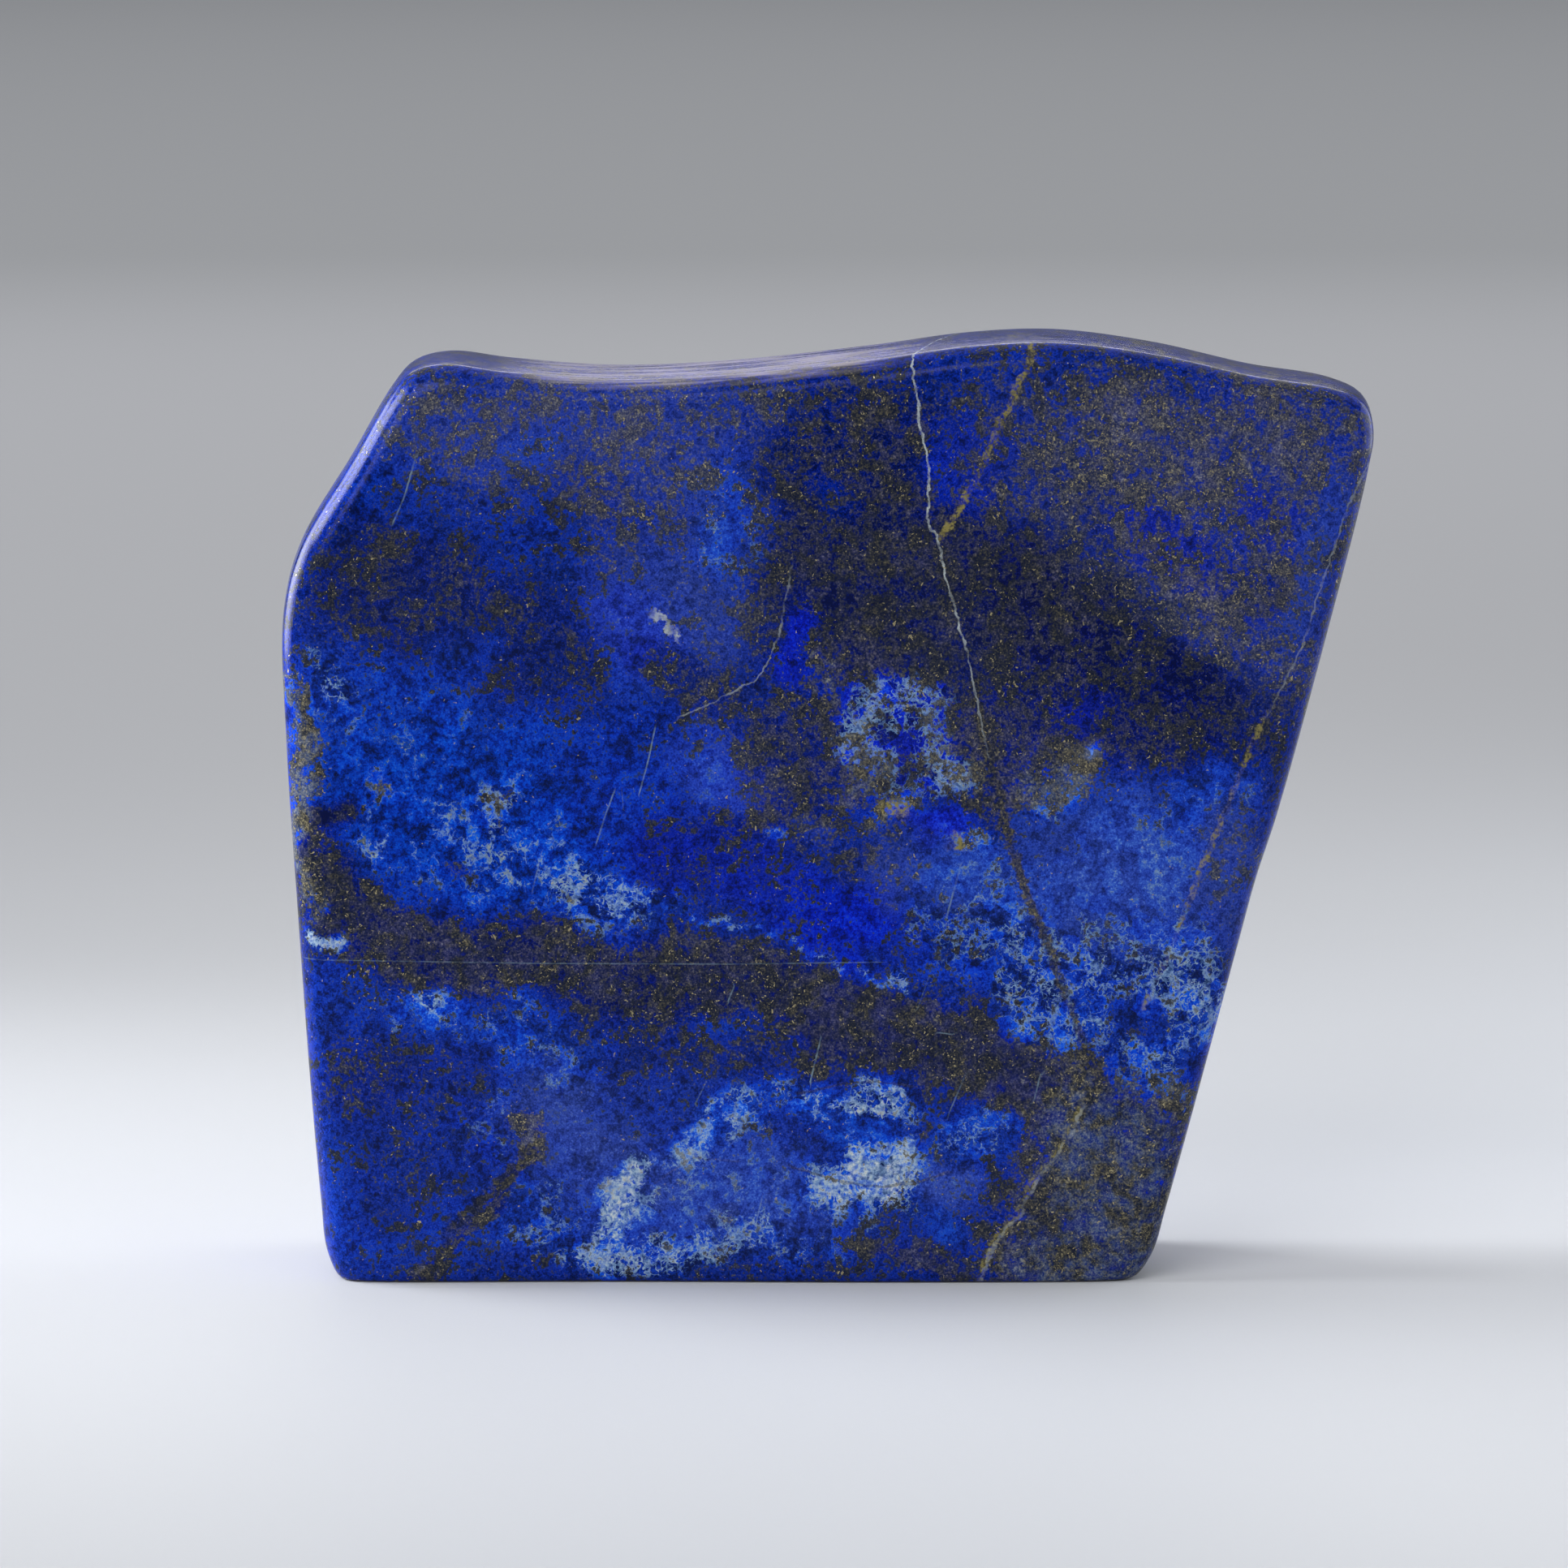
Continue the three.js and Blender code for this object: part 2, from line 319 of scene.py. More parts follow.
frontZones = [
    # upper left: blue under a painted violet sheen, with gold flecks, then deep blue and a dark speckled
    # cloud
    spot(-30, 87, 22, 9, dark=0.55, tone=0.46, haze=0.75, gold=0.5),
    spot(-14, 86, 12, 8, dark=0.56, tone=0.44, haze=0.75, calcite=0.06, gold=0.6),
    spot(-31, 86, 5, 3.5, dark=0.35, tone=0.5, haze=0.5),
    spot(-48, 79, 8, 8, turn=30, dark=0.2, tone=0.38, haze=0.05),
    spot(-30, 77, 16, 5, turn=-12, dark=0.3, tone=0.36, haze=0.1, gold=0.15),
    spot(-21, 79, 8, 4, turn=-30, dark=0.6, tone=0.4, haze=0.4, gold=0.5),
    spot(-43, 71, 13, 6.5, turn=-12, dark=0.6, tone=0.22, gold=0.2),
    spot(-32, 67, 12, 6, turn=-20, dark=0.52, tone=0.25, gold=0.2),
    spot(-37, 66, 4, 3, turn=20, dark=0.2, tone=0.36),
    spot(-14, 70, 7, 8, dark=0.35, tone=0.4, haze=0.75, gold=0.25),
    spot(-20, 68, 4.5, 6, turn=15, dark=0.08, tone=0.46, haze=0.45, royal=0.6),
    spot(-10, 79, 4, 7, turn=10, dark=0.12, tone=0.6, haze=0.4, calcite=0.14),
    spot(-18, 63, 5, 4, dark=0.15, tone=0.45, haze=0.3),
    spot(-13, 61, 7, 4, turn=-30, dark=0.6, tone=0.3, haze=0.2, gold=0.4),
    # left: bright blue with pale mottling
    spot(-45, 58, 12, 8, dark=0.2, tone=0.5, calcite=0.07, gold=0.1),
    spot(-40, 50, 17, 10, dark=0.06, tone=0.52, haze=0.0, calcite=0.1, gold=0.1),
    spot(-31, 44, 12, 6, dark=0.06, tone=0.54, haze=0.0, calcite=0.19, gold=0.1),
    spot(-20, 50, 7, 10, turn=12, dark=0.1, tone=0.44, haze=0.05, royal=0.2, calcite=0.02),
    spot(-10.5, 53.5, 5, 4, turn=-15, dark=0.05, tone=0.58, haze=0.5, royal=0.4),
    spot(-14, 45, 7, 4.5, dark=0.36, tone=0.36, haze=0.05, royal=0.5, calcite=0.0),
    spot(-22.5, 40, 7, 3.6, turn=-6, dark=0.05, tone=0.66, calcite=0.38),
    spot(-52, 61.5, 2.2, 4, turn=10, dark=0.1, tone=0.56, calcite=0.36),
    spot(-46, 45.5, 2, 2.4, turn=20, dark=0.1, tone=0.62, calcite=0.36),
    spot(-47, 51.5, 1.7, 1.9, dark=0.66, tone=0.85, calcite=0.45, gold=0.4),
    spot(-34.5, 50, 1.8, 2.0, dark=0.45, tone=0.85, calcite=0.62, gold=0.3),
    spot(-38, 42.5, 2, 1, dark=0.6, tone=0.5),
    spot(-51.5, 48.3, 1.5, 1.5, dark=0.85, tone=0.1, calcite=0.0),
    # middle: near black olive, with saturated blue windows
    spot(5, 84, 14, 9, dark=0.72, tone=0.26, haze=0.0, gold=0.6),
    spot(2, 72, 10, 12, dark=0.8, tone=0.18, haze=0.0, gold=0.25),
    spot(14, 73, 9, 12, dark=0.8, tone=0.2, gold=0.25),
    spot(13.8, 85, 3.6, 5.4, dark=0.32, tone=0.42, royal=0.4, gold=0.3),
    spot(-0.8, 62, 2.4, 5, turn=5, dark=0.85, tone=0.55, gold=0.5),
    spot(-3.4, 65.5, 1.9, 4.6, turn=-8, dark=0.15, tone=0.42, royal=0.9),
    spot(1.5, 81, 3, 3, dark=0.5, tone=0.3),
    spot(10, 64, 8, 4, dark=0.82, tone=0.2, gold=0.3),
    spot(19, 79, 4, 4, dark=0.4, tone=0.3),
    spot(29, 67, 15, 9, turn=-35, dark=0.72, tone=0.06, haze=0.0, gold=0.2),
    spot(27, 60, 12, 7, dark=0.6, tone=0.18, royal=0.3, gold=0.3),
    spot(17, 55, 6, 8, dark=0.72, tone=0.25, gold=0.45),
    spot(-3, 54, 7, 5, turn=30, dark=0.75, tone=0.3, gold=0.45),
    spot(2.2, 60.5, 1.8, 1.8, dark=0.0, tone=0.5, royal=1.0, calcite=0.0),
    # upper right: olive with many gold flecks under a painted grey violet sheen
    spot(36, 83, 20, 12, turn=-8, dark=0.76, tone=0.42, haze=0.55, gold=0.85),
    spot(46, 84, 10, 9, dark=0.78, tone=0.44, haze=0.6, gold=0.8),
    spot(27, 79, 7, 6, dark=0.8, tone=0.36, haze=0.4, gold=0.9),
    spot(36, 75, 8, 3.2, turn=-32, dark=0.5, tone=0.42, haze=0.2, royal=0.6, gold=0.5),
    spot(43, 80, 5, 2.4, turn=-25, dark=0.55, tone=0.42, haze=0.3, royal=0.5, gold=0.5),
    spot(38, 69.5, 9, 4, turn=-22, dark=0.76, tone=0.4, haze=0.6, gold=0.55),
    spot(45, 66, 8, 5, turn=-30, dark=0.76, tone=0.4, haze=0.6, gold=0.6),
    spot(45, 73, 3.5, 3.5, dark=0.8, tone=0.4, haze=0.3, gold=0.9),
    spot(50, 74, 3, 10, turn=-14, dark=0.35, tone=0.42, haze=0.6, gold=0.3),
    spot(40, 61, 7, 4, dark=0.7, tone=0.2, haze=0.2, gold=0.2),
    # the dark zone under the slanted lower edge of the upper right
    spot(22, 71, 12, 5, turn=-38, dark=0.74, tone=0.14, haze=0.0, royal=0.3, gold=0.2),
    spot(35, 62, 9, 5.5, turn=-34, dark=0.6, tone=0.14, haze=0.0, royal=0.3, gold=0.15),
    # the ring round a blue core, and the mixed patch under it
    spot(7.3, 56.4, 6.4, 5.6, dark=0.62, tone=0.6, royal=0.5, calcite=0.86, gold=0.2),
    spot(3.4, 52, 2.6, 2.0, dark=0.8, tone=0.6, calcite=0.3, gold=0.3),
    spot(3.6, 56.6, 1.5, 3.6, turn=8, dark=0.6, tone=0.75, calcite=0.8),
    spot(7, 60, 3, 1, turn=-8, dark=0.4, tone=0.65, calcite=0.62),
    spot(7.9, 56.6, 2.9, 2.9, turn=25, dark=0.34, tone=0.36, royal=0.6, calcite=0.3),
    spot(9.0, 53.4, 2.2, 1.4, dark=0.5, tone=0.25, calcite=0.16),
    spot(12.8, 53.6, 3.4, 2.6, turn=-20, dark=0.6, tone=0.8, calcite=0.8, gold=0.3),
    spot(7.4, 49, 2.8, 1.7, dark=0.8, tone=0.9, calcite=0.4, gold=1.0),
    spot(12, 47.6, 2.6, 1.9, dark=0.0, tone=0.48, royal=1.0, calcite=0.0, gold=0.0),
    spot(14.5, 45.6, 2.4, 1.3, dark=0.55, tone=0.9, calcite=0.6, gold=0.9),
    spot(-5.5, 48.5, 4.6, 3.6, dark=0.84, tone=0.4, gold=0.5),
    spot(-6.2, 46.4, 1.3, 1.0, dark=0.4, tone=0.9, calcite=0.7),
    spot(-2.5, 48.5, 1.6, 1.8, dark=0.5, tone=0.4, haze=0.5),
    spot(22.5, 52.5, 5, 4, turn=20, dark=1.0, tone=0.85, calcite=0.2, gold=0.3),
    spot(25, 53.5, 2.4, 2.8, dark=0.9, tone=1.1, calcite=0.35, gold=0.2),
    spot(22, 50, 2.2, 0.9, dark=0.5, tone=0.9, calcite=0.55, gold=0.2),
    spot(26, 59, 3, 2.4, dark=0.35, tone=0.3, royal=0.6),
    spot(24, 48.6, 6, 1.2, turn=6, dark=0.25, tone=0.4),
    # below the middle: deep blue, painted violet sheen and the right hand cornflower field
    spot(1, 38, 8.5, 3.6, turn=-16, dark=0.16, tone=0.46, haze=0.0, royal=0.8, calcite=0.0),
    spot(-7, 41.5, 5, 3.6, turn=-10, dark=0.3, tone=0.4, royal=0.6, calcite=0.03),
    spot(3, 44, 5, 3, dark=0.5, tone=0.3, haze=0.2),
    spot(8, 42.5, 4, 4.4, dark=0.42, tone=0.4, haze=0.7, gold=0.2),
    spot(14, 41.5, 5, 4, turn=-25, dark=0.08, tone=0.6, haze=0.55, calcite=0.1),
    spot(13, 35, 6, 4, turn=-30, dark=0.3, tone=0.5, calcite=0.26),
    spot(20, 36, 4, 7, turn=20, dark=0.2, tone=0.6, calcite=0.3),
    spot(30, 43, 11, 7.5, dark=0.04, tone=0.64, haze=0.75, calcite=0.1),
    spot(23, 46, 5, 3, dark=0.2, tone=0.45, haze=0.5),
    spot(40, 50, 5, 4, dark=0.1, tone=0.55, haze=0.2, calcite=0.2),
    spot(41.5, 43, 4.2, 8, turn=-14, dark=0.3, tone=0.42, haze=0.7, calcite=0.08),
    spot(25, 33, 6, 5, dark=0.14, tone=0.5, calcite=0.33),
    spot(35, 33, 6, 5, dark=0.12, tone=0.54, calcite=0.36),
    spot(38, 28, 4, 5, dark=0.1, tone=0.66, calcite=0.4),
    spot(20, 28, 5, 4, turn=-40, dark=0.15, tone=0.6, calcite=0.34),
    spot(26, 26, 4, 4, dark=0.2, tone=0.66, calcite=0.42),
    spot(33, 22, 4.5, 4, dark=0.12, tone=0.66, calcite=0.5),
    spot(36, 17, 2.2, 5, turn=-14, dark=0.4, tone=0.7, calcite=0.55),
    # lower left: mixed blues under the band
    spot(-42, 32, 14, 4, turn=-6, dark=0.5, tone=0.3, gold=0.3),
    spot(-40, 28, 9, 2.6, turn=-18, dark=0.15, tone=0.56, calcite=0.16),
    spot(-42, 29.8, 2.4, 1.6, turn=-30, dark=0.1, tone=0.8, calcite=0.55),
    spot(-50, 27, 4, 8, dark=0.2, tone=0.42),
    spot(-13, 26, 18, 5.5, turn=-6, dark=0.44, tone=0.29, gold=0.3),
    spot(-9, 28, 4.5, 2.8, dark=0.12, tone=0.55, calcite=0.06),
    spot(-29, 24, 7, 4.5, turn=-40, dark=0.15, tone=0.56, calcite=0.2),
    spot(-35, 16, 4, 4.5, turn=-30, dark=0.2, tone=0.54, calcite=0.24),
    spot(-46, 19, 5, 8, turn=24, dark=0.55, tone=0.3, gold=0.3),
    spot(-41, 12, 10, 8, dark=0.3, tone=0.34),
    spot(-51, 8, 4, 9, dark=0.15, tone=0.4),
    spot(-37, 20, 3, 5, dark=0.4, tone=0.35),
    spot(-25, 16, 8, 6, dark=0.08, tone=0.45, haze=0.75),
    spot(-16, 19, 7, 3, dark=0.25, tone=0.35, haze=0.2),
    spot(-31, 7, 8, 5, dark=0.15, tone=0.5, calcite=0.2),
    spot(-42, 4, 8, 3, dark=0.3, tone=0.45),
    spot(-31.5, 14.2, 2.0, 1.6, dark=0.9, tone=0.5, gold=0.8),
    # bottom: calcite lace, the big white patch and its arch
    spot(-11, 9, 13, 6, dark=0.08, tone=0.58, haze=0.7, calcite=0.12),
    spot(-20, 2.8, 11, 2.2, dark=0.12, tone=0.7, calcite=0.55),
    spot(-20, 9.5, 2.2, 5.4, turn=-12, dark=0.05, tone=0.85, calcite=0.76),
    spot(-12, 15.5, 7, 2.2, turn=22, dark=0.08, tone=0.7, calcite=0.42),
    spot(2, 19, 8.5, 2.8, dark=0.05, tone=0.66, calcite=0.36),
    spot(4.5, 19.8, 3, 1.3, dark=0.05, tone=0.8, calcite=0.66),
    spot(3, 16.2, 5, 2.2, dark=0.02, tone=0.52, calcite=0.08),
    spot(5.6, 11, 7.2, 3.3, turn=3, dark=0.1, tone=0.95, haze=0.0, calcite=0.92),
    spot(9.6, 14.2, 1.4, 1.8, turn=-20, dark=0.1, tone=0.8, calcite=0.75),
    spot(-4, 4, 10, 2.6, dark=0.1, tone=0.62, calcite=0.38),
    spot(13.4, 9.6, 3.4, 2.6, dark=0.15, tone=0.52, haze=0.8, calcite=0.08),
    spot(15.5, 15.2, 3.6, 2.2, turn=-8, dark=0.12, tone=0.6, calcite=0.26),
    spot(11.5, 5.4, 3.4, 2.2, turn=-25, dark=0.08, tone=0.5, calcite=0.08),
    spot(7.5, 3.4, 6.5, 1.5, turn=-16, dark=0.95, tone=0.4, calcite=0.1, gold=0.3),
]

# bands that run across the face
frontBands = [
    {"path": [(-54, 45), (-51.5, 40.5), (-46, 36.5), (-38, 34.2), (-26, 33), (-14, 31.8), (-3, 29.8),
              (4, 28), (11, 25.6)], "half": 3.7,
     "dark": 0.9, "tone": 0.27, "haze": 0.0, "calcite": 0.0, "gold": 0.5},
    {"path": [(0, 28.6), (8, 26.4), (15, 23.6), (21, 20.8), (27, 17)], "half": 4.4,
     "dark": 1.04, "tone": 0.32, "haze": 0.0, "calcite": 0.0, "gold": 0.5},
    {"path": [(-41.6, 0), (-38.3, 5.8), (-34.9, 8.8), (-31.6, 12.5)], "half": 0.8,
     "dark": 0.85, "tone": 0.45, "gold": 0.6},
    {"path": [(29.5, 13), (28, 8), (27.5, 0)], "half": 9.2,
     "dark": 1.3, "tone": 0.74, "haze": 0.0, "calcite": 0.0, "gold": 0.6},
    {"path": [(-16, 38.5), (-8, 37), (1, 34.5), (8, 32)], "half": 0.45,
     "dark": 0.1, "tone": 0.55, "calcite": 0.35},
    {"path": [(-53, 35.6), (-50, 35.2)], "half": 0.9, "dark": 0.1, "tone": 0.9, "calcite": 0.85},
    {"path": [(-54.8, 63), (-54.3, 57), (-53.9, 50), (-53.3, 43), (-52.8, 38)], "half": 0.95,
     "dark": 0.95, "tone": 0.85, "gold": 1.0},
]

backZones = [
    spot(-30, 75, 24, 18, turn=15, dark=0.7, tone=0.25, haze=0.3, gold=0.7),
    spot(20, 80, 22, 14, turn=-10, dark=0.3, tone=0.45, haze=0.3, gold=0.3),
    spot(44, 68, 9, 16, turn=-14, dark=0.5, tone=0.35, gold=0.4),
    spot(-8, 62, 12, 7, turn=30, dark=0.1, tone=0.4),
    spot(24, 58, 14, 10, dark=0.12, tone=0.6, calcite=0.3),
    spot(34, 47, 8, 5, turn=-20, dark=0.1, tone=0.74, calcite=0.6),
    spot(-40, 48, 14, 12, dark=0.15, tone=0.55, haze=0.5, calcite=0.1),
    spot(-15, 44, 12, 6, turn=-15, dark=0.8, tone=0.2, gold=0.4),
    spot(6, 38, 9, 8, dark=0.08, tone=0.5, haze=0.55),
    spot(-36, 22, 16, 9, turn=20, dark=0.2, tone=0.5, calcite=0.35),
    spot(-44, 12, 7, 5, dark=0.05, tone=0.85, calcite=0.78),
    spot(-10, 14, 16, 8, turn=-8, dark=0.6, tone=0.28, gold=0.5),
    spot(20, 18, 11, 8, dark=0.1, tone=0.62, haze=0.2, calcite=0.45),
    spot(8, 5, 16, 3, dark=0.1, tone=0.7, calcite=0.5),
    spot(-2, 84, 9, 5, dark=0.05, tone=0.7, calcite=0.4),
]

# small chance patches all over the back
chance = np.random.default_rng(11)
for patch in range(90):
    size = chance.uniform(1.5, 5.5)
    backZones.append(spot(
        chance.uniform(-54, 54), chance.uniform(2, 95), size, size * chance.uniform(0.35, 0.8),
        chance.uniform(-60, 60), dark=chance.choice([0.05, 0.3, 0.6, 0.8]),
        tone=chance.uniform(0.25, 0.6), royal=chance.choice([0.0, 0.0, 0.8])))
for patch in range(40):
    size = chance.uniform(1.2, 4.0)
    backZones.append(spot(
        chance.uniform(-52, 52), chance.uniform(2, 60), size, size * chance.uniform(0.3, 0.7),
        chance.uniform(-50, 20), dark=0.1, tone=0.6, calcite=chance.uniform(0.1, 0.6)))

backBands = [
    {"path": [(-56, 62), (-38, 60), (-20, 54), (0, 50), (16, 42), (30, 30), (40, 26)], "half": 3.6,
     "dark": 0.85, "tone": 0.25, "haze": 0.0, "calcite": 0.0, "gold": 0.5},
    {"path": [(-50, 30), (-36, 34), (-20, 32), (-8, 27)], "half": 2.2,
     "dark": 0.05, "tone": 0.75, "calcite": 0.5},
]

# vein: path on the face in mm, half width, how strong, how far it leans for each mm going back,
# and whether it goes through the stone
paleVeins = [
    {"path": [(7.6, 97), (8.3, 95.2), (9.0, 92.0), (9.4, 88.5), (10.1, 85.5), (10.4, 82.2), (10.2, 79),
              (11.4, 76.8), (12.0, 74), (13.1, 69.8), (14.4, 65.5)],
     "half": 0.13, "level": 0.9, "lean": 0.35},
    {"path": [(14.4, 65.5), (14.9, 63), (15.7, 58.8), (16.6, 54.6)],
     "half": 0.1, "level": 0.55, "lean": 0.35},
    {"path": [(-3.6, 74.6), (-4.2, 71.3), (-4.9, 67.2), (-6.6, 63.4), (-7.4, 62.6), (-9.9, 61.3),
              (-12.4, 60), (-15.3, 58.8)],
     "half": 0.1, "level": 0.42, "lean": -0.2},
    {"path": [(55.3, 85.7), (53.8, 82.3), (52.6, 79), (51.6, 75.6), (50.5, 72.6), (49.4, 68.9),
              (48.8, 66.3), (45.1, 58.8)],
     "half": 0.1, "level": 0.3, "lean": 0.3},
    {"path": [(26.2, 18.3), (23.7, 13.4), (21.6, 10.9), (19.6, 6.7), (17.1, 4.1), (15.8, 0)],
     "half": 0.2, "level": 0.36, "lean": -0.4},
    {"path": [(-17.9, 69.3), (-16.5, 68.8), (-15.4, 66.7)], "half": 0.4, "level": 1.0, "through": False},
]
goldVeins = [
    {"path": [(5.6, 49.8), (8.4, 48.9)], "half": 0.9, "level": 1.0, "through": False},
    {"path": [(12.4, 46.2), (14.4, 45.5)], "half": 0.8, "level": 0.95, "through": False},
    {"path": [(26, 18.3), (23.4, 13.4), (21.3, 10.9), (19.3, 6.7), (16.8, 4.1), (15.5, 0)],
     "half": 0.34, "level": 0.75, "lean": -0.4},
    {"path": [(21.6, 97), (21.1, 95.7), (19.7, 93.2), (18, 89.4), (16.3, 85.6), (15.1, 82.7),
              (13.4, 79.8), (11.3, 76.8)],
     "half": 0.4, "level": 0.95, "lean": -0.3},
    {"path": [(45.6, 60), (43.6, 56), (41.8, 51), (39.6, 45.5), (37.4, 40), (35.2, 34), (32.6, 28.5)],
     "half": 0.32, "level": 0.75, "lean": 0.3},
]
darkVeins = [
    {"path": [(14.9, 63), (16.2, 57), (18, 49), (19.3, 44.5), (20.5, 40.3), (22.6, 36.1), (24.3, 31),
              (26.8, 24.3), (28.8, 20.5)],
     "half": 0.52, "level": 0.95, "lean": 0.35},
    {"path": [(-4, 12.2), (-1, 11.3), (2, 10.4), (5.5, 10), (9, 10.3), (12.8, 11.6)],
     "half": 0.16, "level": 0.6},
    {"path": [(10.6, 16.6), (9.2, 14), (8.2, 10.6)], "half": 0.14, "level": 0.6},
    {"path": [(-3, 19.6), (1, 20.6), (5, 21), (9, 20.4)], "half": 0.16, "level": 0.6},
    {"path": [(-18, 10.2), (-14, 13), (-9, 12.6)], "half": 0.12, "level": 0.4},
    {"path": [(-41.6, 0), (-38.3, 5.8), (-34.9, 8.8), (-31.6, 12.5), (-29.5, 15.1)],
     "half": 0.72, "level": 1.0, "lean": 0.2},
]
# fine scratches, on the front face alone
hairLines = [
    {"path": [(-42, 85.7), (-43.2, 81.5), (-44.5, 78.5)], "half": 0.09, "level": 0.8},
    {"path": [(-17.6, 57.9), (-18.3, 54.5), (-19.3, 50.8)], "half": 0.09, "level": 0.8},
    {"path": [(-21.8, 51.2), (-22.8, 48.5), (-23.7, 45.7)], "half": 0.09, "level": 0.8},
    {"path": [(-29.3, 44.9), (-30.3, 40.7)], "half": 0.08, "level": 0.6},
    {"path": [(13.8, 43.6), (12.2, 37.7)], "half": 0.1, "level": 0.7},
    {"path": [(10.5, 31.9), (9.3, 28.5)], "half": 0.08, "level": 0.7},
    {"path": [(-9.5, 31), (-10.3, 29)], "half": 0.08, "level": 0.7},
    {"path": [(-0.6, 25.6), (-1.8, 20.5)], "half": 0.09, "level": 0.9},
    {"path": [(-12.4, 21), (-13.7, 18.4)], "half": 0.08, "level": 0.5},
    {"path": [(-6.6, 9.2), (-7.4, 5.8)], "half": 0.08, "level": 0.6},
    {"path": [(22, 21.8), (21.3, 18.8)], "half": 0.09, "level": 0.8},
    {"path": [(14.3, 21.8), (12.4, 17.2)], "half": 0.08, "level": 0.6},
    {"path": [(-54, 33.6), (-30, 33.3), (-10, 33.2), (6, 33.4)], "half": 0.07, "level": 0.45},
    {"path": [(35, 34.4), (41, 34.5)], "half": 0.08, "level": 0.5},
    {"path": [(11.4, 26.1), (13, 25.9)], "half": 0.07, "level": 0.7},
]


def pathDistance(x, z, path):
    # Signed distance to a line of straight pieces: the nearest piece gives the length of the
    # gap, and the sign of its cross product gives the side.
    best = np.full(x.shape, 1e9)
    signed = np.full(x.shape, 1e9)
    for (ax, az), (bx, bz) in zip(path[:-1], path[1:]):
        ux, uz = bx - ax, bz - az
        share = np.clip(((x - ax) * ux + (z - az) * uz) / (ux * ux + uz * uz), 0.0, 1.0)
        dx, dz = x - ax - share * ux, z - az - share * uz
        gap = np.hypot(dx, dz)
        nearer = gap < best
        best = np.where(nearer, gap, best)
        signed = np.where(nearer, np.where(ux * dz - uz * dx >= 0, gap, -gap), signed)
    return signed


def ripple(x, z, length, seed):
    # The sum of five sines of about the given length, in chance directions, over 2.5: it stays
    # mostly between -1 and 1.
    chance = np.random.default_rng(seed)
    waves = zip(chance.uniform(0, np.pi, 5), chance.uniform(0, 6.28, 5), chance.uniform(0.7, 1.4, 5))
    total = np.zeros(x.shape)
    for turn, phase, stretch in waves:
        run = x * math.cos(turn) + z * math.sin(turn)
        total += np.sin(2 * np.pi * run / (length * stretch) + phase)
    return total / 2.5


# how the places are shaken: length of the ripple, and its rise across and up, in mm
shakes = [(20, 1.0, 0.9), (9, 0.8, 0.8), (4.4, 0.5, 0.5)]


def paintZones(x, z, zones, bands):
    # Each zone is laid over the last with weight exp(-e^4), e being the distance from its
    # middle in units of its own size, so it is flat inside and soft at its edge. The places
    # are shaken by ripples of three lengths first, so that no edge stays an ellipse.
    shiftX = sum(rise * ripple(x, z, length, 3 + 2 * k) for k, (length, rise, _) in enumerate(shakes))
    shiftZ = sum(rise * ripple(x, z, length, 4 + 2 * k) for k, (length, _, rise) in enumerate(shakes))
    x, z = x + shiftX, z + shiftZ
    levels = {key: np.full(x.shape, value) for key, value in ground.items()}
    for zone in zones + bands:
        if "path" in zone:
            e = np.abs(pathDistance(x, z, zone["path"])) / zone["half"]
        else:
            turn = math.radians(zone["turn"])
            dx, dz = x - zone["at"][0], z - zone["at"][1]
            along = (dx * math.cos(turn) + dz * math.sin(turn)) / zone["size"][0]
            over = (dz * math.cos(turn) - dx * math.sin(turn)) / zone["size"][1]
            e = np.hypot(along, over)
        weight = np.exp(-np.clip(e, 0, 4) ** 4)
        for key in ground:
            if key in zone:
                levels[key] += (zone[key] - levels[key]) * weight
    return levels


def overshoot(x, z, path):
    # How far a place lies past either end of the line, measured along its end pieces.
    past = np.full(x.shape, -1e9)
    for (ax, az), (bx, bz) in ((path[1], path[0]), (path[-2], path[-1])):
        length = math.hypot(bx - ax, bz - az)
        past = np.maximum(past, ((x - bx) * (bx - ax) + (z - bz) * (bz - az)) / length)
    return past


# in mm: where the veins' paths lie, and over what lengths a vein fades to its sides, past its
# ends and, where it is on the front face alone, going back
fading = {
    "frontFace": -13.0,
    "sides": (2.0, 3.5),
    "ends": (-0.5, 0.5),
    "goingBack": (-12.0, -10.5),
    "farthest": 50.0,  # cap on the distance to a vein, in half widths
}


def frontOnly(y):
    # A smooth step down, from 1 on the front face to 0 over its rounded edge.
    return 1 - softStep(*fading["goingBack"], y)


def veinField(x, y, z, veins):
    # The signed distance to the nearest vein in units of its half width, and its level times a
    # smooth step down to its sides and one past its ends. A leaning vein moves sideways by its
    # lean for each mm of depth.
    best = np.full(x.shape, 1e9)
    field = np.full(x.shape, fading["farthest"])
    strength = np.zeros(x.shape)
    for vein in veins:
        across = x - vein.get("lean", 0.0) * (y - fading["frontFace"])
        gap = pathDistance(across, z, vein["path"])
        nearer = np.abs(gap) < best
        near = 1 - softStep(*fading["sides"], np.abs(gap))
        near = near * (1 - softStep(*fading["ends"], overshoot(across, z, vein["path"])))
        if not vein.get("through", True):
            near = near * frontOnly(y)
        best = np.where(nearer, np.abs(gap), best)
        field = np.where(nearer, gap / vein["half"], field)
        strength = np.where(nearer, vein["level"] * near, strength)
    return np.clip(field, -fading["farthest"], fading["farthest"]), strength


